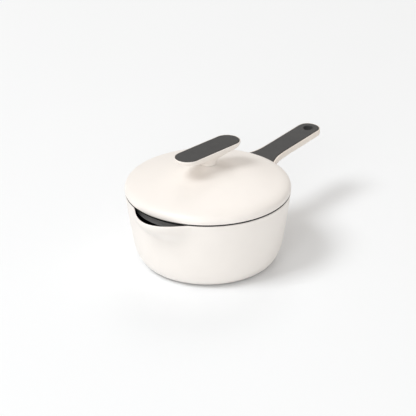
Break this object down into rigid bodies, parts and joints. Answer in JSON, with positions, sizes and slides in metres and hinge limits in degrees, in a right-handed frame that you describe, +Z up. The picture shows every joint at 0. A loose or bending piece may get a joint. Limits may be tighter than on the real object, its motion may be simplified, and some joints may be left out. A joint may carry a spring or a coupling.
{
  "type": "saucepan with lid",
  "caption": "Round lidded saucepan with a pouring lip, a straight two-tone handle and a pill-shaped lid knob.",
  "frame": {"origin": "centre of the flat underside, where the pan stands on a hob", "axes": "+X along the handle, -X towards the pouring lip, +Z up through the lid knob"},
  "size_m": [0.3226, 0.19, 0.1376],
  "materials": {
    "cream_enamel": "satin",
    "cream_resin": "satin",
    "charcoal_soft_touch": "matte",
    "black_silicone": "matte",
    "stainless_steel": "satin",
    "brass": "satin"
  },
  "bodies": {
    "pan": {"pan_body": "cream_enamel", "induction_base_disc": "stainless_steel", "handle_bracket": "stainless_steel", "bracket_rivet_left": "stainless_steel", "bracket_rivet_right": "stainless_steel", "handle_shell": "cream_resin", "handle_grip_inlay": "charcoal_soft_touch", "handle_screw_front": "stainless_steel", "handle_screw_rear": "stainless_steel"},
    "lid_seal": {"lid_seal_ring": "black_silicone"},
    "lid": {"lid_shell": "cream_enamel", "knob_body": "cream_resin", "knob_pad": "charcoal_soft_touch", "knob_insert": "brass", "knob_screw": "stainless_steel", "knob_washer": "stainless_steel", "knob_seal_washer": "black_silicone"}
  },
  "joints": [
    {"name": "lid_lift", "type": "slide", "parent": "pan", "child": "lid_seal", "axis": [0, 0, 1], "range_m": [0, 0.12]},
    {"name": "lid_turn", "type": "hinge", "parent": "lid_seal", "child": "lid", "pos_m": [0, 0, 0.0866], "axis": [0, 0, 1], "continuous": true}
  ]
}
